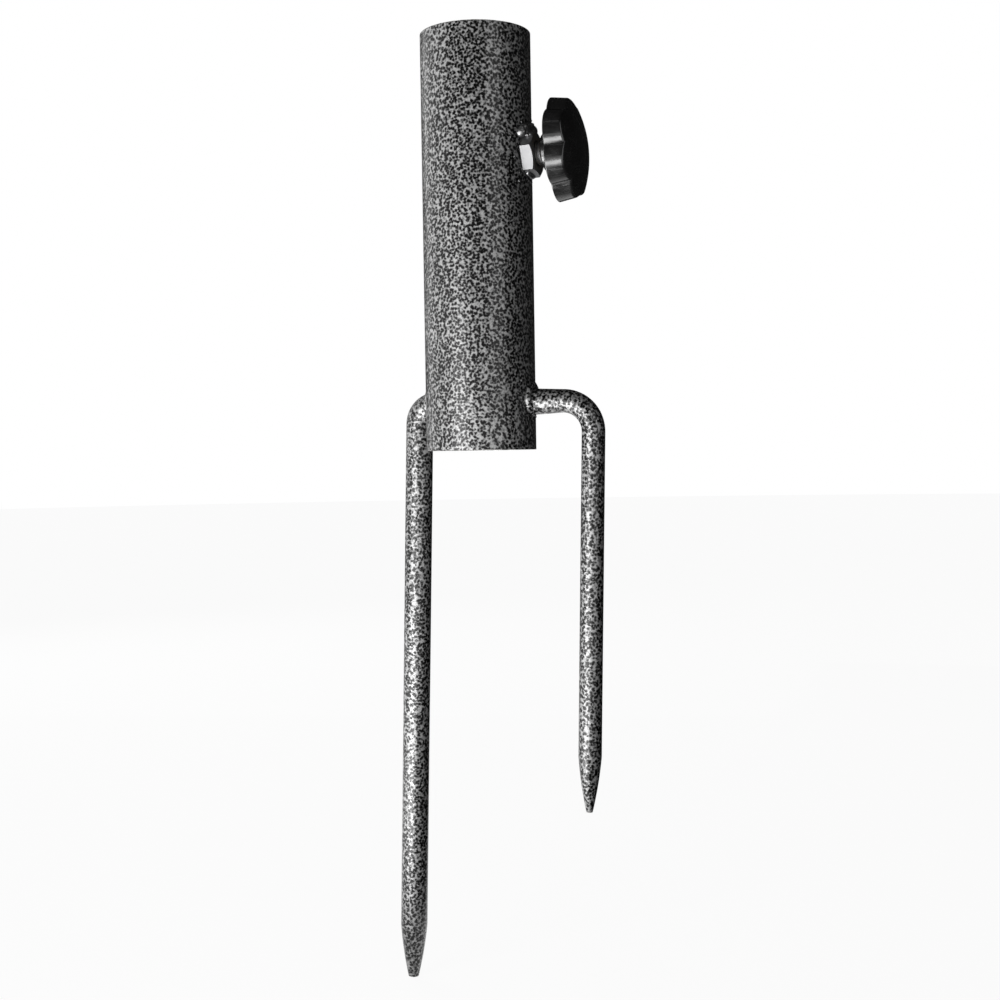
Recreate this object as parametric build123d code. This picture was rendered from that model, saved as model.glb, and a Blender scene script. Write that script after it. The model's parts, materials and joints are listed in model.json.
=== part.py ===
"""Rod holder: a steel socket tube on two pointed ground prongs, with a screw clamp.

Millimetres. The origin is on the tube's axis at its lower end, +Z runs up the tube and
+X points to the side of the tube that carries the clamp screw and the short prong.
"""

import os
from math import atan2, cos, radians, sin, tan

from build123d import *

# ---- socket tube ----
TUBE_OUTER = 38.0
TUBE_WALL = 2.0
TUBE_LENGTH = 142.5

# ---- prongs: round bar, bent once and pointed ----
SHORT_BAR = 8.0
SHORT_ARM_END = 9.2         # the arm swells towards the tube
SHORT_AZIMUTH = 0.0
SHORT_GAP = 17.0            # tube to leg, level with the tube's lower end
SHORT_ARM_HEIGHT = 16.3     # arm axis above the tube's lower end
SHORT_BEND = 10.5           # bend radius of the bar's axis
SHORT_SPLAY = -1.45         # degrees the leg spreads outwards going down
SHORT_DEPTH = 124.0         # tip below the tube's lower end
SHORT_TAPER = 19.0
SHORT_TIP = 2.2

LONG_BAR = 9.5
LONG_ARM_END = 10.0
LONG_AZIMUTH = 170.5
LONG_GAP = 1.35
LONG_ARM_HEIGHT = 15.8
LONG_BEND = 6.4
LONG_SPLAY = 1.9
LONG_DEPTH = 188.6
LONG_TAPER = 18.9
LONG_TIP = 3.7

TIP_BULGE = 0.33            # how far the side of a point bows out

# ---- clamp: welded nut, screw and star knob on one axis ----
CLAMP_HEIGHT = 99.6         # where the screw's axis crosses the tube's axis
CLAMP_TILT = 2.4            # degrees the screw points upwards
THREAD = 8.0
NUT_FLATS = 14.0
NUT_HEIGHT = 4.0
NUT_TURN = -11.0            # degrees, how the nut happens to sit
SEAT_DEPTH = 1.0            # flat ground into the tube for the nut
SCREW_HOLE = 9.0
HUB_GAP = 2.4               # bare screw between nut and hub
HUB_DIAMETER = 13.0
HUB_LENGTH = 4.3
HUB_CHAMFER = 0.5
KNOB_DIAMETER = 35.4
KNOB_CROWN = 10.0           # middle of the domed outer face above the knob's back
KNOB_DOME = 38.0            # radius of the domed outer face
KNOB_LOBES = 7
LOBE_RADIUS = 8.9
KNOB_DRAFT = 9.0            # degrees, the rim narrows towards the outer face
KNOB_TURN = 2.9             # degrees, how the knob stands at rest
KNOB_BACK_ROUND = 0.3
KNOB_FRONT_ROUND = 1.2
INSERT_DIAMETER = 10.0
INSERT_LENGTH = 9.0
SCREW_IN_INSERT = 8.0

# ---- weld beads, by the radius of the bead ----
SHORT_WELD = 1.1
LONG_WELD = 1.1
NUT_WELD_TOP = 2.2
NUT_WELD_TOP_MIDDLE = 95.0  # degrees round the screw from +Y
NUT_WELD_TOP_ARC = 100.0
NUT_WELD_LOW = 1.5
NUT_WELD_LOW_MIDDLE = 265.0
NUT_WELD_LOW_ARC = 90.0
WELD_STAND_OFF = 1 / 3      # bead centre off the corner it fills, in bead radii
PRONG_WELD_ARC = 250.0      # degrees round the arm, open below it

# ---- clearances ----
THREAD_CLEARANCE = 0.05     # radial, screw in nut
INSERT_CLEARANCE = 0.03     # radial, screw in insert
TIP_CLEARANCE = 0.1         # screw tip back from the bore
SEAT_CLEARANCE = 0.4        # ground flat round the nut's corners

# ---- sizes that follow ----
TUBE_R = TUBE_OUTER / 2
BORE_R = TUBE_R - TUBE_WALL
SHORT_REACH = TUBE_R + SHORT_GAP + SHORT_BAR / 2
LONG_REACH = TUBE_R + LONG_GAP + LONG_BAR / 2
SCREW_R = THREAD / 2
SEAT_AT = TUBE_R - SEAT_DEPTH
NUT_FACE = SEAT_AT + NUT_HEIGHT
NUT_CORNER_R = NUT_FLATS / 2 / cos(radians(30))
HUB_END = NUT_FACE + HUB_GAP
KNOB_BACK = HUB_END + HUB_LENGTH
LOBE_CENTRE = KNOB_DIAMETER / 2 - LOBE_RADIUS
SCREW_TIP = BORE_R + TIP_CLEARANCE
SCREW_LENGTH = HUB_END + SCREW_IN_INSERT - SCREW_TIP
THREAD_CHAMFER = THREAD / 10

# local frame of the clamp: z outwards along the screw, y up, origin on the tube's axis
CLAMP = Plane(
    origin=(0, 0, CLAMP_HEIGHT),
    x_dir=(0, 1, 0),
    z_dir=(cos(radians(CLAMP_TILT)), 0, sin(radians(CLAMP_TILT))),
)


def on_clamp(shape, start, turn=0.0):
    """Place a shape on the screw's axis, a distance out from the tube's axis."""
    return CLAMP * Pos(0, 0, start) * Rot(0, 0, turn) * shape


def rod(start, direction, length, radius):
    """A round bar from a point along a direction."""
    shape = Cylinder(radius, length, align=(Align.CENTER, Align.CENTER, Align.MIN))
    return Plane(origin=start, z_dir=direction) * shape


def taper_point(start, direction, length, radius, tip):
    """A round point with a flat tip and sides that bow out."""
    lean = atan2(radius - tip, length)
    bow = (
        (radius + tip) / 2 + TIP_BULGE * cos(lean),
        length / 2 + TIP_BULGE * sin(lean),
    )
    sides = Line((0, 0), (radius, 0)) + ThreePointArc((radius, 0), bow, (tip, length))
    ends = Line((tip, length), (0, length)) + Line((0, length), (0, 0))
    half = Plane.XZ * make_face(sides + ends)
    return Plane(origin=start, z_dir=direction) * revolve(half, Axis.Z, 360)


def tube_solid():
    """The tube without its bore, for fitting other pieces against it."""
    return rod((0, 0, 0), (0, 0, 1), TUBE_LENGTH, TUBE_R)


def nut_prism(height):
    """A hexagonal block from the nut's seat outwards."""
    hexagon = RegularPolygon(NUT_CORNER_R, 6)
    return on_clamp(extrude(hexagon, height), SEAT_AT, NUT_TURN)


def make_socket_tube():
    bore = rod((0, 0, 0), (0, 0, 1), TUBE_LENGTH, BORE_R)
    seat = Cylinder(
        NUT_CORNER_R + SEAT_CLEARANCE,
        TUBE_R,
        align=(Align.CENTER, Align.CENTER, Align.MIN),
    )
    hole = Cylinder(
        SCREW_HOLE / 2, TUBE_R, align=(Align.CENTER, Align.CENTER, Align.MIN)
    )
    return tube_solid() - bore - on_clamp(seat, SEAT_AT) - on_clamp(hole, 0)


def prong_frame(azimuth, reach, arm_height, bend, splay):
    """Directions and key points of one prong's axis."""
    outward = Vector(cos(radians(azimuth)), sin(radians(azimuth)), 0)
    spread = tan(radians(splay))
    corner = outward * (reach - spread * arm_height) + Vector(0, 0, arm_height)
    down = (outward * spread - Vector(0, 0, 1)).normalized()
    turn = 90 - splay
    set_back = bend * tan(radians(turn / 2))
    return outward, down, corner - outward * set_back, corner + down * set_back, turn


def make_prong(bar, arm_end, azimuth, reach, arm_height, bend, splay, depth, taper, tip):
    """Arm, bend, straight leg and point, with the arm's end shaped to the tube."""
    outward, down, bend_start, bend_end, turn = prong_frame(
        azimuth, reach, arm_height, bend, splay
    )
    radius = bar / 2
    arm_start = outward * BORE_R + Vector(0, 0, arm_height)
    arm = Plane(origin=arm_start, z_dir=outward) * Cone(
        arm_end / 2,
        radius,
        (bend_start - arm_start).length,
        align=(Align.CENTER, Align.CENTER, Align.MIN),
    )
    centre = bend_start - Vector(0, 0, bend)
    section = Plane(origin=bend_start, z_dir=outward) * Circle(radius)
    elbow = revolve(section, Axis(centre, outward.cross(down)), turn)
    leg_length = (bend_end.Z + depth) / cos(radians(splay)) - taper
    leg = rod(bend_end, down, leg_length, radius)
    point = taper_point(bend_end + down * leg_length, down, taper, radius, tip / 2)
    return arm + elbow + leg + point - tube_solid()


def arc_bead(ring_r, bead, middle, arc):
    """A bead with round ends on an arc about +Z, by its middle and length in degrees."""
    start = middle - arc / 2
    section = Plane.XZ * Pos(ring_r, 0) * Circle(bead)
    body = Rot(0, 0, start) * revolve(section, Axis.Z, arc)
    for end in (start, start + arc):
        body += Rot(0, 0, end) * Pos(ring_r, 0, 0) * Rot(90, 0, 0) * Sphere(bead)
    return body


def make_prong_weld(prong, bar, azimuth, arm_height, bead):
    """A bead over the arm and down its sides, where it meets the tube."""
    outward = Vector(cos(radians(azimuth)), sin(radians(azimuth)), 0)
    across = Vector(0, 0, 1).cross(outward)
    joint = Plane(
        origin=outward * TUBE_R + Vector(0, 0, arm_height), x_dir=across, z_dir=outward
    )
    over = arc_bead(bar / 2 + bead * WELD_STAND_OFF, bead, 90, PRONG_WELD_ARC)
    return largest(joint * over - (tube_solid() + prong))


def largest(shape):
    """The biggest solid of a cut shape, without the slivers."""
    return sorted(shape.solids(), key=lambda solid: solid.volume)[-1]


def make_clamp_nut():
    rounding = Cone(
        NUT_CORNER_R + NUT_HEIGHT * 2,
        NUT_FLATS / 2,
        (NUT_CORNER_R + NUT_HEIGHT * 2 - NUT_FLATS / 2) * tan(radians(30)),
        align=(Align.CENTER, Align.CENTER, Align.MAX),
    )
    hole = Cylinder(
        SCREW_R + THREAD_CLEARANCE,
        NUT_HEIGHT,
        align=(Align.CENTER, Align.CENTER, Align.MIN),
    )
    mouth = Cone(
        SCREW_R + THREAD_CLEARANCE,
        SCREW_R + THREAD_CHAMFER,
        THREAD_CHAMFER / 2,
        align=(Align.CENTER, Align.CENTER, Align.MAX),
    )
    nut = nut_prism(NUT_HEIGHT) & on_clamp(rounding, NUT_FACE)
    return nut - on_clamp(hole, SEAT_AT) - on_clamp(mouth, NUT_FACE)


def make_nut_bead(bead, middle, arc):
    """A bead in the corner between the nut and the tube."""
    body = arc_bead(NUT_FLATS / 2 + bead / 2, bead, middle, arc)
    placed = on_clamp(body, SEAT_AT + bead * WELD_STAND_OFF)
    return largest(placed - (tube_solid() + nut_prism(TUBE_R)))


def make_nut_weld():
    """Two beads, one over the nut and one under it."""
    return Compound(
        children=[
            make_nut_bead(NUT_WELD_TOP, NUT_WELD_TOP_MIDDLE, NUT_WELD_TOP_ARC),
            make_nut_bead(NUT_WELD_LOW, NUT_WELD_LOW_MIDDLE, NUT_WELD_LOW_ARC),
        ]
    )


def make_clamp_screw():
    shank = Cylinder(
        SCREW_R, SCREW_LENGTH, align=(Align.CENTER, Align.CENTER, Align.MIN)
    )
    shank = chamfer(shank.edges().filter_by(GeomType.CIRCLE), THREAD_CHAMFER)
    return on_clamp(shank, SCREW_TIP)


def make_lobe():
    """One lobe of the knob: a round, drafted block with a rounded back edge."""
    front_r = LOBE_RADIUS - KNOB_CROWN * tan(radians(KNOB_DRAFT))
    outline = Polyline(
        (0, 0), (LOBE_RADIUS, 0), (front_r, KNOB_CROWN), (0, KNOB_CROWN), close=True
    )
    face = make_face(outline)
    back_corner = face.vertices().sort_by(Axis.X)[-1]
    half = Plane.XZ * fillet(back_corner, KNOB_BACK_ROUND)
    return Pos(LOBE_CENTRE, 0, 0) * revolve(half, Axis.Z, 360)


def make_knob():
    """Lobes round a core, cut to a dome in front, with a hub and the insert's pocket."""
    body = Cylinder(
        LOBE_CENTRE, KNOB_CROWN, align=(Align.CENTER, Align.CENTER, Align.MIN)
    )
    for index in range(KNOB_LOBES):
        body += Rot(0, 0, index * 360 / KNOB_LOBES) * make_lobe()
    body = body & Pos(0, 0, KNOB_CROWN - KNOB_DOME) * Sphere(KNOB_DOME)
    dome = body.faces().filter_by(GeomType.SPHERE).sort_by(SortBy.AREA)[-1]
    body = fillet(dome.edges(), KNOB_FRONT_ROUND)
    hub = Cylinder(
        HUB_DIAMETER / 2, HUB_LENGTH, align=(Align.CENTER, Align.CENTER, Align.MAX)
    )
    hub = chamfer(hub.edges().sort_by(Axis.Z)[0], HUB_CHAMFER)
    pocket = Cylinder(
        INSERT_DIAMETER / 2,
        INSERT_LENGTH,
        align=(Align.CENTER, Align.CENTER, Align.MIN),
    )
    body = body + hub - Pos(0, 0, -HUB_LENGTH) * pocket
    return on_clamp(body, KNOB_BACK, KNOB_TURN)


def make_knob_insert():
    sleeve = Cylinder(
        INSERT_DIAMETER / 2,
        INSERT_LENGTH,
        align=(Align.CENTER, Align.CENTER, Align.MIN),
    )
    hole = Cylinder(
        SCREW_R + INSERT_CLEARANCE,
        INSERT_LENGTH,
        align=(Align.CENTER, Align.CENTER, Align.MIN),
    )
    return on_clamp(sleeve - hole, HUB_END)


def main():
    os.makedirs("parts", exist_ok=True)
    short_prong = make_prong(
        SHORT_BAR, SHORT_ARM_END, SHORT_AZIMUTH, SHORT_REACH, SHORT_ARM_HEIGHT,
        SHORT_BEND, SHORT_SPLAY, SHORT_DEPTH, SHORT_TAPER, SHORT_TIP,
    )
    long_prong = make_prong(
        LONG_BAR, LONG_ARM_END, LONG_AZIMUTH, LONG_REACH, LONG_ARM_HEIGHT,
        LONG_BEND, LONG_SPLAY, LONG_DEPTH, LONG_TAPER, LONG_TIP,
    )
    nodes = {
        "socket_tube": make_socket_tube(),
        "short_prong": short_prong,
        "long_prong": long_prong,
        "short_prong_weld": make_prong_weld(
            short_prong, SHORT_ARM_END, SHORT_AZIMUTH, SHORT_ARM_HEIGHT, SHORT_WELD
        ),
        "long_prong_weld": make_prong_weld(
            long_prong, LONG_ARM_END, LONG_AZIMUTH, LONG_ARM_HEIGHT, LONG_WELD
        ),
        "clamp_nut": make_clamp_nut(),
        "clamp_nut_weld": make_nut_weld(),
        "clamp_screw": make_clamp_screw(),
        "knob": make_knob(),
        "knob_insert": make_knob_insert(),
    }
    for name, shape in nodes.items():
        export_step(shape, f"parts/{name}.step")


main()
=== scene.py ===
# %% [markdown]
# # A fishing rod holder, dressed for the camera
#
# The object is a short steel tube on two bent, pointed prongs that are pushed into the
# ground. A star knob drives a screw through a welded nut and clamps the rod's butt in
# the tube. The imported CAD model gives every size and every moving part. This lesson adds
# what a render needs: finishes, welds, a real screw thread, light and a camera.
#
# We start by loading the CAD model. Each of its pieces is called a node, and each node
# already moves with a body: the holder, the screw or the knob.

# %% Load the CAD model
import json
import math
import random

import bmesh
import bpy
from mathutils import Matrix, Vector


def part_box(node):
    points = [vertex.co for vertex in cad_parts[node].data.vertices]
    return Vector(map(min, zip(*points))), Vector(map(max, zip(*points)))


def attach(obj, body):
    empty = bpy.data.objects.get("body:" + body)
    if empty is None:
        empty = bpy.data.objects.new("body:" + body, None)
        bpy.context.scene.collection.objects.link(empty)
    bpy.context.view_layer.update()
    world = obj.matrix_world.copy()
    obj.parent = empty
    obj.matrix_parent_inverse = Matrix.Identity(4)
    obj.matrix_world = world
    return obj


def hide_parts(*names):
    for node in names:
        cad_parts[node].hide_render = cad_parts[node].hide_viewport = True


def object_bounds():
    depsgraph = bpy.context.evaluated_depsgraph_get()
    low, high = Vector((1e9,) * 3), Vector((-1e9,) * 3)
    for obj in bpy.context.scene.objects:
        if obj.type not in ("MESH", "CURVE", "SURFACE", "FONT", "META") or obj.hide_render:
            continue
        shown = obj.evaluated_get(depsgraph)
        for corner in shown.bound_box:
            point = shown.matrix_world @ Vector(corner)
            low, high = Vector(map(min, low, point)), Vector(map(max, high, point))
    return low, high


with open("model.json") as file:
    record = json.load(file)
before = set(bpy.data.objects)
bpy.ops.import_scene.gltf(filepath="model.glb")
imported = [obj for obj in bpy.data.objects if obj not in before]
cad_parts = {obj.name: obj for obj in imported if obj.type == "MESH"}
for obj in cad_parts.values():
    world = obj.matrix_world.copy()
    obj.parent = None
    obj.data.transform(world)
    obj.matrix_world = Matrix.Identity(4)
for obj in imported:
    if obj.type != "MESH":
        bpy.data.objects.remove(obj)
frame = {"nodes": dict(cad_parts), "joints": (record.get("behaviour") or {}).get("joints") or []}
cad_low, cad_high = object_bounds()
MM = 0.001
print("CAD nodes:", sorted(frame["nodes"]))
print("CAD box in mm:", [round(x / MM, 1) for x in (*cad_low, *cad_high)])

# %% [markdown]
# ## The sizes that the new pieces need
#
# Everything sits where the CAD puts it. The tube's box gives its radius and length, and
# the knob's joint gives the axis of the screw. A few sizes are listed: the radius
# of each prong's arm where it meets the tube, the nut's width across its flats, and the
# screw's radius and pitch.

# %% Read the sizes from the CAD
tube_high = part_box("socket_tube")[1]
TUBE_R = tube_high.x
TUBE_TOP = tube_high.z
SHORT_ARM_R = 4.6 * MM
LONG_ARM_R = 5.0 * MM
NUT_FLATS = 14.0 * MM
SCREW_R = 4.0 * MM
PITCH = 1.25 * MM

knob_turn = next(j for j in frame["joints"] if j["name"] == "knob_turn")
screw_axis = Vector(knob_turn["axis"]).normalized()
screw_origin = Vector(knob_turn["pos_m"])
print("tube radius", round(TUBE_R / MM, 2), "mm and length", round(TUBE_TOP / MM, 1), "mm")
print("screw axis", tuple(round(x, 3) for x in screw_axis))

# %% [markdown]
# The nut, its welds and the screw all lie on one axis, which is tipped up by two and a
# half degrees. It is easiest to model such pieces upright and then to stand them on the
# axis with one matrix, so we build that matrix once. Its Z points out along the screw and
# its Y points up.

# %% A frame of reference on the screw's axis
side = Vector((0, 1, 0))
clamp_frame = Matrix((side, screw_axis.cross(side), screw_axis)).transposed().to_4x4()
clamp_frame.translation = screw_origin


def along_screw(point):
    """How far a point lies out along the screw, from the tube's axis."""
    return (point - screw_origin).dot(screw_axis)


def reach_on_screw(node):
    """Where a CAD node starts and ends along the screw."""
    spots = [along_screw(v.co) for v in frame["nodes"][node].data.vertices]
    return min(spots), max(spots)


screw_start, screw_end = reach_on_screw("clamp_screw")
nut_start, nut_end = reach_on_screw("clamp_nut")
print("screw from", round(screw_start / MM, 2), "to", round(screw_end / MM, 2), "mm")
print("nut from", round(nut_start / MM, 2), "to", round(nut_end / MM, 2), "mm")

# %% [markdown]
# ## Small helpers for materials
#
# A Blender material is a tree of nodes that ends in a shader. These helpers keep the
# trees short to write: one makes a material with its Principled shader, one adds a node
# and sets its numbers, and one adds a colour ramp. A number that is the same all over
# the surface is set on the shader itself, so that it survives an export.

# %% Helpers that build a material's node tree
def new_material(name, **numbers):
    """A material and its Principled shader, with plain numbers set on the shader."""
    material = bpy.data.materials.new(name)
    material.use_nodes = True
    tree = material.node_tree
    shader = tree.nodes["Principled BSDF"]
    for socket, value in numbers.items():
        shader.inputs[socket.replace("_", " ")].default_value = value
    return material, tree, shader


def add(tree, kind, sockets=None, **settings):
    """A new node of a kind, with its settings and its sockets' numbers."""
    made = tree.nodes.new("ShaderNode" + kind)
    for key, value in settings.items():
        setattr(made, key, value)
    for key, value in (sockets or {}).items():
        if isinstance(value, bpy.types.NodeSocket):
            tree.links.new(value, made.inputs[key])
        else:
            made.inputs[key].default_value = value
    return made


def ramp(tree, source, stops):
    """A colour ramp: stops are pairs of a position and a grey or a colour."""
    made = add(tree, "ValToRGB", {"Fac": source})
    band = made.color_ramp
    while len(band.elements) < len(stops):
        band.elements.new(0.5)
    for element, (position, tone) in zip(band.elements, stops):
        element.position = position
        colour = tone if isinstance(tone, tuple) else (tone, tone, tone)
        element.color = (*colour, 1)
    return made.outputs["Color"]


def mix_colours(tree, factor, first, second, how="MIX"):
    """Two colours mixed by a factor."""
    made = add(tree, "Mix", data_type="RGBA", blend_type=how)
    for slot, value in ((0, factor), (6, first), (7, second)):
        if isinstance(value, bpy.types.NodeSocket):
            tree.links.new(value, made.inputs[slot])
        else:
            made.inputs[slot].default_value = value
    return made.outputs[2]


def speckle(tree, where, scale, detail=2.0, roughness=0.5, distortion=0.0):
    """A noise value over the surface; scale is in grains for each metre."""
    made = add(
        tree,
        "TexNoise",
        {
            "Vector": where,
            "Scale": scale,
            "Detail": detail,
            "Roughness": roughness,
            "Distortion": distortion,
        },
    )
    return made.outputs["Fac"]


print("material helpers ready")

# %% [markdown]
# ## Hammertone paint
#
# Hammertone is a thick paint with aluminium flakes. As it dries it pulls into a net of
# bright, flaky ridges round small dark pools, each under a millimetre across. It could
# be a picture of the pattern, but a pattern made of noise has no seams and follows any
# shape. A noise, slightly stirred by a second one, is mixed with a Voronoi texture,
# whose round cells keep the pools about evenly apart. The mix gives both colour and
# height: dark and low in a pool, bright and high on a ridge. The flakes make the paint
# half metal. A clear coat lies over all of it, so that where a lamp is mirrored, pools
# and ridges light up alike and the prongs look smooth and wet.

# %% Make the hammertone paint
POOLS_PER_METRE = 1320.0
CELLS_PER_METRE = 980.0
SWIRLS_PER_METRE = 700.0
PATCHES_PER_METRE = 45.0
FLAKES_PER_METRE = 3600.0
STIR = 0.12 * MM
BARE_STEEL = (0.42, 0.41, 0.40, 1)


def hammertone(name, worn_heights=(), worn_width=0.5 * MM):
    """Grey hammertone paint, worn through to steel at some heights."""
    material, tree, shader = new_material(
        name, Metallic=0.5, Specular_IOR_Level=0.15, Coat_Weight=0.6, Coat_Roughness=0.25
    )
    where = add(tree, "TexCoord").outputs["Object"]
    swirl = add(
        tree, "TexNoise", {"Vector": where, "Scale": SWIRLS_PER_METRE, "Detail": 1.0}
    )
    centred = add(
        tree,
        "VectorMath",
        {0: swirl.outputs["Color"], 1: (0.5, 0.5, 0.5)},
        operation="SUBTRACT",
    )
    push = add(
        tree, "VectorMath", {0: centred.outputs[0], "Scale": STIR * 2}, operation="SCALE"
    )
    stirred = add(
        tree, "VectorMath", {0: where, 1: push.outputs[0]}, operation="ADD"
    ).outputs[0]
    grains = speckle(tree, stirred, POOLS_PER_METRE, detail=1.0, roughness=0.5)
    cells = add(
        tree,
        "TexVoronoi",
        {"Vector": stirred, "Scale": CELLS_PER_METRE, "Randomness": 1.0},
    )
    pools = add(
        tree, "Mix", {0: 0.5, 2: grains, 3: cells.outputs["Distance"]}, data_type="FLOAT"
    ).outputs[0]
    patches = speckle(tree, where, PATCHES_PER_METRE, detail=2.0)
    flakes = speckle(tree, where, FLAKES_PER_METRE, detail=1.0)
    paint = ramp(
        tree,
        pools,
        [(0.38, 0.001), (0.45, 0.012), (0.51, 0.12), (0.57, 0.32), (0.66, 0.52)],
    )
    shade = ramp(tree, patches, [(0.3, 0.78), (0.7, 1.0)])
    paint = mix_colours(tree, 1.0, paint, shade, "MULTIPLY")
    glint = ramp(tree, flakes, [(0.35, 0.65), (0.65, 1.0)])
    paint = mix_colours(tree, 1.0, paint, glint, "MULTIPLY")
    rough = ramp(tree, pools, [(0.4, 0.30), (0.6, 0.46)])
    if worn_heights:
        worn = worn_mask(tree, where, worn_heights, worn_width)
        paint = mix_colours(tree, worn, paint, BARE_STEEL)
    tree.links.new(paint, shader.inputs["Base Color"])
    tree.links.new(rough, shader.inputs["Roughness"])
    relief = ramp(tree, pools, [(0.38, 0.0), (0.56, 1.0)])
    bump = add(tree, "Bump", {"Height": relief, "Strength": 0.35, "Distance": 0.12 * MM})
    tree.links.new(bump.outputs["Normal"], shader.inputs["Normal"])
    return material


def worn_mask(tree, where, heights, width):
    """White where a piece is rubbed bare: close to some heights, broken up by noise."""
    level = add(tree, "SeparateXYZ", {"Vector": where}).outputs["Z"]
    total = None
    for height in heights:
        off = add(tree, "Math", {0: level, 1: height}, operation="SUBTRACT").outputs[0]
        gap = add(tree, "Math", {0: off}, operation="ABSOLUTE").outputs[0]
        near = add(
            tree, "MapRange", {"Value": gap, "From Min": width, "From Max": 0.0}
        ).outputs["Result"]
        if total is None:
            total = near
        else:
            total = add(tree, "Math", {0: total, 1: near}, operation="MAXIMUM").outputs[0]
    chips = speckle(tree, where, 380.0, detail=3.0)
    rubbed = add(tree, "Math", {0: total, 1: chips}, operation="MULTIPLY").outputs[0]
    return ramp(tree, rubbed, [(0.42, 0.0), (0.50, 1.0)])


tube_paint = hammertone("tube_hammertone", (0.0, TUBE_TOP), 0.6 * MM)
short_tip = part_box("short_prong")[0].z
long_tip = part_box("long_prong")[0].z
short_paint = hammertone("short_prong_hammertone", (short_tip,), 1.2 * MM)
long_paint = hammertone("long_prong_hammertone", (long_tip,), 1.2 * MM)
bead_paint = hammertone("bead_hammertone")
print("paints:", [m.name for m in (tube_paint, short_paint, long_paint, bead_paint)])

# %% [markdown]
# ## The bright metals
#
# The nut and the screw are zinc plated: an even satin grey, with fine drawing lines and
# a faint cloudiness. The weld is bare steel that was molten, so it is darker and uneven,
# with soot and a little overspray. The insert in the knob is turned brass. All of them
# are metal through and through, so Metallic is one, and the noise goes into colour,
# roughness and a little bump.

# %% Make zinc, weld metal and brass
def bright_metal(name, dark, light, grain, rough, stretch=(1, 1, 1), relief=0.15):
    """A bare metal whose colour and gloss wander between two values."""
    material, tree, shader = new_material(name, Metallic=1.0)
    where = add(tree, "TexCoord").outputs["Object"]
    drawn = add(tree, "Mapping", {"Vector": where, "Scale": stretch}).outputs["Vector"]
    cloud = speckle(tree, where, grain, detail=3.0)
    lines = speckle(tree, drawn, grain * 4, detail=2.0)
    colour = ramp(tree, cloud, [(0.3, dark), (0.7, light)])
    streak = ramp(tree, lines, [(0.3, 0.82), (0.7, 1.0)])
    colour = mix_colours(tree, 1.0, colour, streak, "MULTIPLY")
    tree.links.new(colour, shader.inputs["Base Color"])
    gloss = ramp(tree, lines, [(0.3, rough[0]), (0.7, rough[1])])
    tree.links.new(gloss, shader.inputs["Roughness"])
    bump = add(tree, "Bump", {"Height": lines, "Strength": relief, "Distance": 0.05 * MM})
    tree.links.new(bump.outputs["Normal"], shader.inputs["Normal"])
    return material


zinc = bright_metal(
    "zinc_plate", (0.26, 0.26, 0.265), (0.29, 0.29, 0.295), 300.0, (0.5, 0.6), (0.2, 1, 1)
)
weld_steel = bright_metal(
    "weld_steel", (0.10, 0.10, 0.10), (0.62, 0.62, 0.63), 900.0, (0.3, 0.5), relief=1.0
)
brass = bright_metal(
    "turned_brass", (0.50, 0.36, 0.15), (0.70, 0.53, 0.26), 400.0, (0.25, 0.4), (1, 0.2, 1)
)
print("metals:", [m.name for m in (zinc, weld_steel, brass)])

# %% [markdown]
# ## Black moulded plastic
#
# The knob is a moulding in black nylon. It has no colour to speak of, so its look comes
# from gloss: fairly smooth, softly uneven where the plastic shrank in the mould, with a
# very fine texture, dull rub marks from fingers, and scuffs across the rim.

# %% Make the knob's plastic
knob_plastic, tree, shader = new_material(
    "black_nylon", IOR=1.5, Specular_IOR_Level=0.9
)
where = add(tree, "TexCoord").outputs["Object"]
grain = speckle(tree, where, 2400.0, detail=2.0)
rub = speckle(tree, where, 140.0, detail=4.0, roughness=0.6)
across = add(tree, "Mapping", {"Vector": where, "Scale": (0.12, 1, 1)}).outputs["Vector"]
scuffs = speckle(tree, across, 1500.0, detail=2.0)
tone = ramp(tree, rub, [(0.35, 0.006), (0.7, 0.016)])
both = add(tree, "Math", {0: rub, 1: scuffs}, operation="MULTIPLY").outputs[0]
gloss = ramp(tree, both, [(0.15, 0.12), (0.4, 0.30)])
bump = add(tree, "Bump", {"Height": grain, "Strength": 0.12, "Distance": 0.04 * MM})
tree.links.new(tone, shader.inputs["Base Color"])
tree.links.new(gloss, shader.inputs["Roughness"])
tree.links.new(bump.outputs["Normal"], shader.inputs["Normal"])
print("plastic:", knob_plastic.name)

# %% [markdown]
# ## Dress the CAD nodes whose shape is right
#
# The tube, the prongs, the knob and the insert already have their real shapes, so they
# stay as they are and only get a finish. A CAD node may not be moved or reshaped.

# %% Give each CAD node its finish
finishes = {
    "socket_tube": tube_paint,
    "short_prong": short_paint,
    "long_prong": long_paint,
    "short_prong_weld": bead_paint,
    "long_prong_weld": bead_paint,
    "clamp_nut": zinc,
    "clamp_nut_weld": weld_steel,
    "clamp_screw": zinc,
    "knob": knob_plastic,
    "knob_insert": brass,
}
for name, material in finishes.items():
    node = frame["nodes"][name]
    node.data.materials.clear()
    node.data.materials.append(material)
print("dressed", len(finishes), "CAD nodes")

# %% [markdown]
# ## Helpers that turn points into pieces
#
# A new piece starts as a mesh, gets its finish, rides on a body and hides the CAD node
# it stands for. These four steps are the same each time, so one helper does them.

# %% A helper that hangs a new piece on the object
def new_piece(name, mesh, body, material, node=None):
    """An object from a mesh, dressed, riding on a body, with the CAD node it stands for hidden.
    """
    piece = bpy.data.objects.new(name, mesh)
    bpy.context.scene.collection.objects.link(piece)
    mesh.materials.clear()
    mesh.materials.append(material)
    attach(piece, body)
    if node:
        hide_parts(node)
    print(f"{name}: {len(mesh.vertices)} points, {len(mesh.polygons)} faces, on {body}")
    return piece


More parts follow.
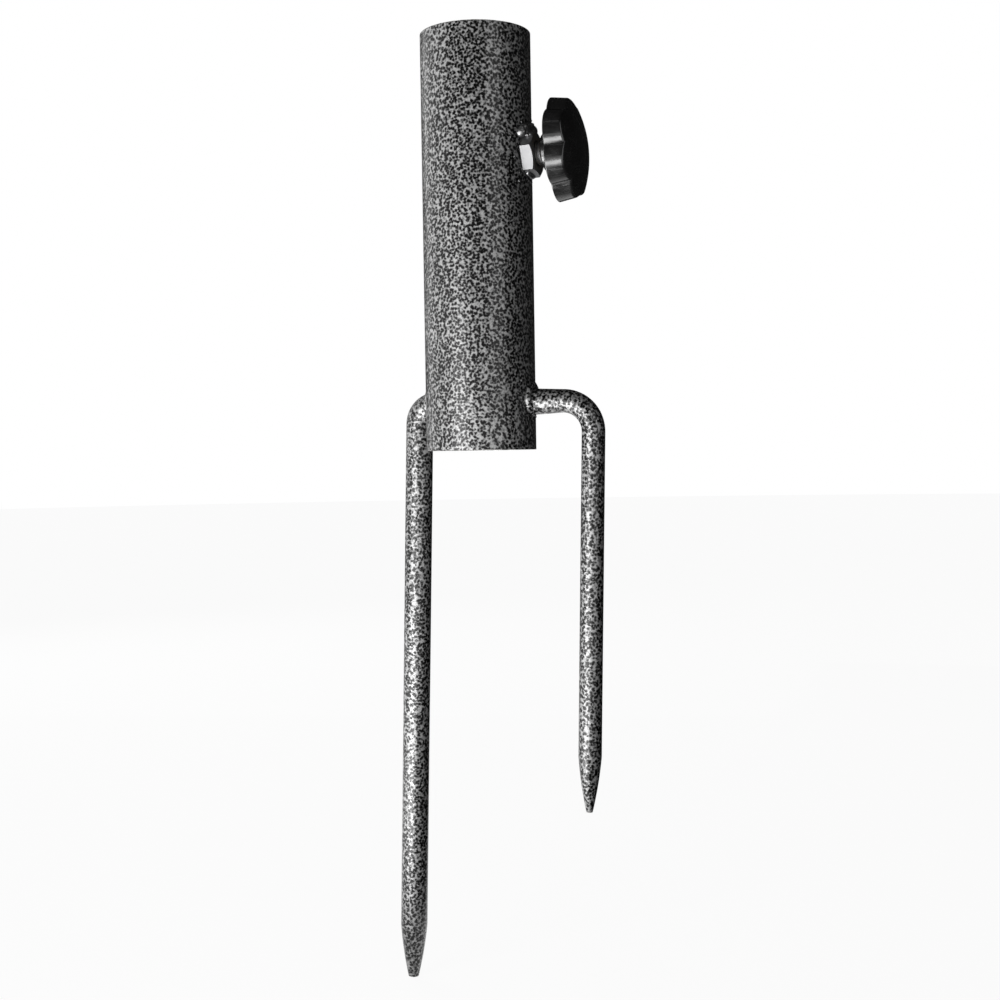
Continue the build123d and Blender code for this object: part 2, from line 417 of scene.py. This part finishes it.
# %% [markdown]
# ## The screw's thread
#
# A bare screw shows between the nut and the knob, and more of it as the knob is undone.
# A screw modifier could sweep a tooth round the axis, but its ends stay open. A grid is
# cleaner: its columns go round the screw, its rows follow the helix, and where one turn
# closes, each row meets the row that lies one pitch further on. Points beyond an end are
# pushed back to it, and the tooth gets lower there, which makes the chamfer.

# %% Build the threaded screw
AROUND = 64
TOOTH = ((0.0, 1.0), (0.125, 1.0), (0.31, 0.5), (0.5, 0.0), (0.625, 0.0), (0.81, 0.5))
TOOTH_DEPTH = 0.6134 * PITCH
END_CHAMFER = 0.8 * MM
WELDED = 0.001 * MM


def thread_mesh(length):
    """A closed mesh of a threaded rod that stands on the origin."""
    root = SCREW_R - TOOTH_DEPTH
    turns = math.ceil(length / PITCH) + 2
    rows = turns * len(TOOTH)
    bm = bmesh.new()
    grid = []
    for column in range(AROUND):
        share = column / AROUND
        turn = 2 * math.pi * share
        points = []
        for row in range(rows):
            lap, step = divmod(row, len(TOOTH))
            along, rise = TOOTH[step]
            z = (lap - 1.5 + along + share) * PITCH
            z = min(max(z, 0.0), length)
            edge = min(z, length - z)
            radius = min(root + rise * TOOTH_DEPTH, SCREW_R - END_CHAMFER + edge)
            spot = (radius * math.cos(turn), radius * math.sin(turn), z)
            points.append(bm.verts.new(spot))
        grid.append(points)
    for column in range(AROUND):
        here = grid[column]
        closing = column == AROUND - 1
        there = grid[0][len(TOOTH):] if closing else grid[column + 1]
        for row in range(min(len(here), len(there)) - 1):
            bm.faces.new((here[row], there[row], there[row + 1], here[row + 1]))
    bmesh.ops.remove_doubles(bm, verts=bm.verts, dist=WELDED)
    for z in (0.0, length):
        rim = [v for v in bm.verts if abs(v.co.z - z) < WELDED]
        rim.sort(key=lambda v: math.atan2(v.co.y, v.co.x))
        if z == 0.0:
            rim.reverse()
        bm.faces.new(rim)
    bmesh.ops.recalc_face_normals(bm, faces=bm.faces)
    mesh = bpy.data.meshes.new("thread")
    bm.to_mesh(mesh)
    open_edges = sum(1 for e in bm.edges if len(e.link_faces) != 2)
    bm.free()
    print("thread:", turns, "turns,", open_edges, "open edges")
    return mesh


screw_mesh = thread_mesh(screw_end - screw_start)
screw_mesh.transform(clamp_frame @ Matrix.Translation((0, 0, screw_start)))
screw_mesh.shade_smooth()
screw_mesh.set_sharp_from_angle(angle=math.radians(50))
new_piece("threaded_screw", screw_mesh, "screw", zinc, "clamp_screw")

# %% [markdown]
# ## Weld beads
#
# A weld bead is a row of small overlapping puddles. It could be one swept tube, but that
# looks like plasticine. So we lay a row of balls along the joint, a little uneven in
# size and place, let a voxel remesh fuse them into one skin, and smooth it slightly. The
# seeded random numbers give the same bead each time.

# %% Helpers that fuse puddles into a bead
PRONG_BEAD = 1.1 * MM
FINE_VOXEL = 0.16 * MM


def puddles_mesh(name, puddles, voxel=0.2 * MM, smooth=4):
    """One skin round a row of balls, each given by its centre and radius."""
    bm = bmesh.new()
    for centre, radius in puddles:
        place = Matrix.Translation(centre)
        bmesh.ops.create_icosphere(bm, subdivisions=3, radius=radius, matrix=place)
    rough = bpy.data.meshes.new(name + "_rough")
    bm.to_mesh(rough)
    bm.free()
    maker = bpy.data.objects.new(name + "_maker", rough)
    bpy.context.scene.collection.objects.link(maker)
    skin = maker.modifiers.new("skin", "REMESH")
    skin.mode = "VOXEL"
    skin.voxel_size = voxel
    soft = maker.modifiers.new("soft", "SMOOTH")
    soft.iterations = smooth
    graph = bpy.context.evaluated_depsgraph_get()
    mesh = bpy.data.meshes.new_from_object(maker.evaluated_get(graph))
    mesh.name = name
    bpy.data.objects.remove(maker)
    bpy.data.meshes.remove(rough)
    mesh.shade_smooth()
    return mesh


def joint_puddles(azimuth, height, bar_r, bead, heavy, chance):
    """Puddles all round a bar that meets the tube, larger towards one heavy side."""
    ring_r = bar_r + bead * 0.12
    count = round(2 * math.pi * ring_r / (bead * 0.45))
    turn_in = Matrix.Rotation(azimuth, 4, "Z")
    puddles = []
    for i in range(count):
        angle = 2 * math.pi * i / count
        y = ring_r * math.cos(angle)
        z = height + ring_r * math.sin(angle)
        x = math.sqrt(TUBE_R**2 - y**2) + bead * chance.uniform(0.0, 0.12)
        size = bead * (1 + 0.5 * max(0.0, math.cos(angle - heavy)) ** 2)
        puddles.append((turn_in @ Vector((x, y, z)), size * chance.uniform(0.92, 1.02)))
    return puddles


print("bead helpers ready")

# %% [markdown]
# Each prong's bead runs in the corner between the bar and the tube, so its path is the
# ring where a cylinder meets a larger one. The balls sit deep in that corner, so only a
# low fillet shows, and they are larger on one side, where the welder laid on more. The
# whole joint was painted over, so it wears the same hammertone.

# %% Lay the beads round both prongs
def joint_of(node):
    """Azimuth and height at which a prong's arm meets the tube, from its weld's box."""
    low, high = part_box(node)
    middle = (low + high) / 2
    return math.atan2(middle.y, middle.x), middle.z


for node, bar_r, heavy, seed in (
    ("short_prong_weld", SHORT_ARM_R, 220, 11),
    ("long_prong_weld", LONG_ARM_R, 320, 12),
):
    azimuth, height = joint_of(node)
    heavy = math.radians(heavy)
    puddles = joint_puddles(azimuth, height, bar_r, PRONG_BEAD, heavy, random.Random(seed))
    mesh = puddles_mesh(node + "_bead", puddles, voxel=FINE_VOXEL, smooth=10)
    new_piece(node + "_bead", mesh, "holder", bead_paint, node)
    degrees = round(math.degrees(azimuth), 1)
    print("  joint at", degrees, "degrees, height", round(height / MM, 1), "mm")

# %% [markdown]
# The nut is held by a big bead over it and a small one under it. They were laid after
# the paint, or cleaned of it, so bright metal shows. Their puddles follow the nut's rim
# on the tube's wall, and over the nut two smaller rows climb up its side. Each puddle
# carries a few little balls, which makes the metal lumpy.

# %% Lay the beads over and under the nut
def nut_puddles(middle, arc, bead, reach, lift, chance):
    """Puddles on an arc round the nut, some way out from it and up from the wall."""
    ring_r = NUT_FLATS / 2 + reach
    count = max(3, round(math.radians(arc) * ring_r / (bead * 0.55)))
    puddles = []
    for i in range(count + 1):
        angle = math.radians(middle - arc / 2 + arc * i / count)
        x, y = ring_r * math.cos(angle), ring_r * math.sin(angle)
        wall = math.sqrt(TUBE_R**2 - x**2)
        spot = clamp_frame @ Vector((x, y, wall + lift + bead * chance.uniform(0.0, 0.3)))
        puddles.append((spot, bead * chance.uniform(0.8, 1.05)))
        for _ in range(3):
            push = Vector([chance.uniform(-1, 1) for _ in range(3)]).normalized()
            puddles.append((spot + push * bead * 0.75, bead * chance.uniform(0.25, 0.45)))
    return puddles


chance = random.Random(21)
beads = (
    nut_puddles(92, 82, 2.0 * MM, 1.9 * MM, 0.0, chance)
    + nut_puddles(104, 56, 1.0 * MM, 0.4 * MM, 1.6 * MM, chance)
    + nut_puddles(112, 34, 0.8 * MM, 0.2 * MM, 2.6 * MM, chance)
    + nut_puddles(277, 60, 1.1 * MM, 0.3 * MM, 0.0, chance)
)
mesh = puddles_mesh("clamp_nut_bead", beads, voxel=FINE_VOXEL, smooth=3)
new_piece("clamp_nut_bead", mesh, "holder", weld_steel, "clamp_nut_weld")

# %% [markdown]
# ## Weld spatter
#
# Welding throws tiny drops that freeze on the tube as flat beads. A few dozen of them
# round the nut and round the short prong's joint make the welds look real. Each is a
# small flattened ball, half sunk in the wall.

# %% Scatter the drops
def drops_mesh(name, azimuth, height, count, inner, outer, chance):
    """Small flattened balls on the tube's wall, in a ring round a spot."""
    bm = bmesh.new()
    for _ in range(count):
        angle = chance.uniform(0, 2 * math.pi)
        away = inner + (outer - inner) * chance.random() ** 2
        turn = azimuth + away * math.cos(angle) / TUBE_R
        z = height + away * math.sin(angle)
        size = chance.uniform(0.18, 0.5) * MM
        outwards = Vector((math.cos(turn), math.sin(turn), 0))
        place = Matrix.Translation(outwards * TUBE_R + Vector((0, 0, z)))
        lean = outwards.to_track_quat("Z", "Y").to_matrix().to_4x4()
        flat = Matrix.Diagonal((1.0, chance.uniform(0.8, 1.2), 0.65, 1.0))
        bmesh.ops.create_icosphere(
            bm, subdivisions=2, radius=size, matrix=place @ lean @ flat
        )
    mesh = bpy.data.meshes.new(name)
    bm.to_mesh(mesh)
    bm.free()
    mesh.shade_smooth()
    return mesh


nut_height = screw_origin.z + TUBE_R * screw_axis.z
drops = drops_mesh("nut_spatter", 0.0, nut_height, 26, 9 * MM, 14 * MM, random.Random(31))
new_piece("nut_spatter", drops, "holder", weld_steel)
azimuth, height = joint_of("short_prong_weld")
drops = drops_mesh(
    "prong_spatter", azimuth, height, 16, 6.2 * MM, 10 * MM, random.Random(32)
)
new_piece("prong_spatter", drops, "holder", bead_paint)

# %% [markdown]
# ## The camera
#
# The camera stands half a metre in front of the holder and nearly level with the tube's
# lower end. It is turned by under twenty degrees towards the knob, so that both prongs
# and the edge of the knob show. It looks slightly down and is rolled by one degree, as a
# camera held by hand would be. Its lens is a touch longer than a standard one.

# %% Place the camera
HEADING = math.radians(18.5)
TILT = math.radians(-1.69)
ROLL = math.radians(-0.903)
LENS = 53.17
CAMERA_PLACE = Vector((6.09 * MM, -512.3 * MM, -2.25 * MM))
around_z = Matrix.Rotation(HEADING, 3, "Z")
look = around_z @ Vector((0, math.cos(TILT), math.sin(TILT)))
level = around_z @ Vector((1, 0, 0))
raised = level.cross(look)
right = math.cos(ROLL) * level + math.sin(ROLL) * raised
upward = right.cross(look)
camera_data = bpy.data.cameras.new("camera")
camera_data.lens = LENS
camera_data.sensor_width = 36.0
camera = bpy.data.objects.new("camera", camera_data)
bpy.context.scene.collection.objects.link(camera)
pose = Matrix((right, upward, -look)).transposed().to_4x4()
pose.translation = around_z @ CAMERA_PLACE
camera.matrix_world = pose
bpy.context.scene.camera = camera
print("camera at", [round(x / MM, 1) for x in pose.translation], "mm")

# %% [markdown]
# ## Floor and background
#
# The holder stands on a plain white floor in a plain white room. To show white without
# flooding the object with light, the room and the floor shine only for rays from the
# camera and for mirror-like or clear ones, which Light Path can tell apart. All other
# rays get a dim grey from the room. The floor keeps part of its ordinary shading, so it
# still takes a soft shadow.

# %% Build the floor and the white room
def seen_directly(tree):
    """One for a ray from the camera, or one that a shiny or clear surface sends on."""
    path = add(tree, "LightPath")
    gloss = add(
        tree,
        "Math",
        {0: path.outputs["Is Camera Ray"], 1: path.outputs["Is Glossy Ray"]},
        operation="MAXIMUM",
    ).outputs[0]
    return add(
        tree,
        "Math",
        {0: gloss, 1: path.outputs["Is Transmission Ray"]},
        operation="MAXIMUM",
    ).outputs[0]


world = bpy.data.worlds.new("room")
bpy.context.scene.world = world
world.use_nodes = True
tree = world.node_tree
room = tree.nodes["Background"]
AMBIENT = 0.09
WHITE = (1, 1, 1, 1)
dim = (AMBIENT, AMBIENT, AMBIENT, 1)
room_tone = mix_colours(tree, seen_directly(tree), dim, WHITE)
tree.links.new(room_tone, room.inputs["Color"])
room.inputs["Strength"].default_value = 1.0

FLOOR_RADIUS = 6.0
floor_mesh = bpy.data.meshes.new("floor")
bm = bmesh.new()
bmesh.ops.create_circle(bm, cap_ends=True, segments=96, radius=FLOOR_RADIUS)
bm.to_mesh(floor_mesh)
bm.free()
floor = bpy.data.objects.new("floor", floor_mesh)
bpy.context.scene.collection.objects.link(floor)
floor.location.z = long_tip
floor_white = bpy.data.materials.new("floor_white")
floor_white.use_nodes = True
tree = floor_white.node_tree
matt = tree.nodes["Principled BSDF"]
matt.inputs["Base Color"].default_value = (0.85, 0.85, 0.85, 1)
matt.inputs["Roughness"].default_value = 0.9
glow = add(tree, "Emission", {"Color": WHITE, "Strength": 1.1})
share = add(tree, "Math", {0: seen_directly(tree), 1: 0.85}, operation="MULTIPLY")
blend = add(tree, "MixShader", {0: share.outputs[0]})
tree.links.new(matt.outputs[0], blend.inputs[1])
tree.links.new(glow.outputs[0], blend.inputs[2])
tree.links.new(blend.outputs[0], tree.nodes["Material Output"].inputs["Surface"])
floor_mesh.materials.append(floor_white)
print("floor at", round(long_tip / MM, 1), "mm")

# %% [markdown]
# ## Light
#
# Most of the light comes from low down on the left. Three soft lamps lie on the floor
# and shine up: one far to the left lights the left of the tube and prongs, a small one
# close by catches the undersides of the arms, and one in front is mirrored in the knob's
# rim and in the nut. A weak lamp at half height softens the front, and another behind
# keeps the far side readable. The camera doesn't see the lamps on the floor.

# %% Hang the lamps
def from_camera(left, towards, up):
    """A place given from the object: to the camera's left, towards it, and up."""
    towards_camera = -(around_z @ Vector((0, 1, 0)))
    return -level * left + towards_camera * towards + Vector((0, 0, up))


def soft_lamp(name, place, aim, width, height, watts):
    """A rectangular soft lamp that points from a place at a spot."""
    data = bpy.data.lights.new(name, "AREA")
    data.shape = "RECTANGLE"
    data.size, data.size_y = width, height
    data.energy = watts
    lamp = bpy.data.objects.new(name, data)
    bpy.context.scene.collection.objects.link(lamp)
    lamp.location = place
    lamp.rotation_mode = "QUATERNION"
    lamp.rotation_quaternion = (aim - place).to_track_quat("-Z", "Y")
    print(f"{name}: {watts} W from {[round(x, 2) for x in place]} m")
    return lamp


middle = Vector((0, 0, (cad_low.z + cad_high.z) / 2))


def floor_lamp(name, left, towards, width, depth, watts):
    """A soft lamp that lies on the floor and shines up, turned towards the holder."""
    spot = from_camera(left, towards, long_tip + 5 * MM)
    lamp = soft_lamp(name, spot, spot + Vector((0, 0, 1)), width, depth, watts)
    lamp.rotation_mode = "XYZ"
    lamp.rotation_euler = (math.pi, 0, math.atan2(spot.y, spot.x) - math.pi / 2)
    lamp.visible_camera = False


floor_lamp("left_key", 0.41, 0.15, 0.36, 0.5, 2.0)
floor_lamp("under_key", 0.17, 0.20, 0.17, 0.22, 1.4)
floor_lamp("far_key", 0.15, 0.60, 0.24, 0.46, 2.4)
soft_lamp("window", from_camera(0.38, 0.42, -0.05), middle, 0.30, 0.24, 1.3)
soft_lamp("back_fill", from_camera(0.5, -0.9, 0.5), middle, 0.8, 0.8, 2.0)

# %% [markdown]
# A shiny object shows what stands round it. Five black cards stop the white room from
# being mirrored on the right, behind, above, over the camera and on the floor to the
# right, so that the knob and the pools in the paint go properly dark. Only mirror-like
# rays see the cards: they cast no shadow and take no light away.

# %% Hang the dark cards
card_black, tree, shader = new_material("card_black", Roughness=1.0)
shader.inputs["Base Color"].default_value = (0.02, 0.02, 0.02, 1)


def dark_card(name, place, aim, width, height):
    """A black card that only mirror-like rays can see."""
    mesh = bpy.data.meshes.new(name)
    bm = bmesh.new()
    size = Matrix.Diagonal((width, height, 1, 1))
    bmesh.ops.create_grid(bm, x_segments=1, y_segments=1, size=0.5, matrix=size)
    bm.to_mesh(mesh)
    bm.free()
    mesh.materials.append(card_black)
    card = bpy.data.objects.new(name, mesh)
    bpy.context.scene.collection.objects.link(card)
    card.location = place
    card.rotation_mode = "QUATERNION"
    card.rotation_quaternion = (aim - place).to_track_quat("Z", "Y")
    card.visible_camera = False
    card.visible_diffuse = False
    card.visible_shadow = False


dark_card("right_card", from_camera(-0.42, -0.05, 0.22), Vector((0, 0, 0.22)), 0.9, 0.8)
dark_card("back_card", from_camera(-0.05, -0.55, 0.22), Vector((0, 0, 0.22)), 1.3, 0.8)
dark_card("top_card", from_camera(-0.05, -0.1, 0.62), Vector((0, 0, 0)), 1.2, 1.2)
dark_card("front_card", from_camera(0.22, 0.66, 0.41), Vector((0, 0, 0.1)), 1.4, 0.76)
floor_card = from_camera(-0.48, -0.1, long_tip + 3 * MM)
dark_card("low_card", floor_card, floor_card + Vector((0, 0, 1)), 0.8, 1.2)
print("five dark cards hung")

# %% [markdown]
# ## Last settings
#
# The Standard view shows a colour as it is written.

# %% Show colours as written
bpy.context.scene.view_settings.view_transform = "Standard"
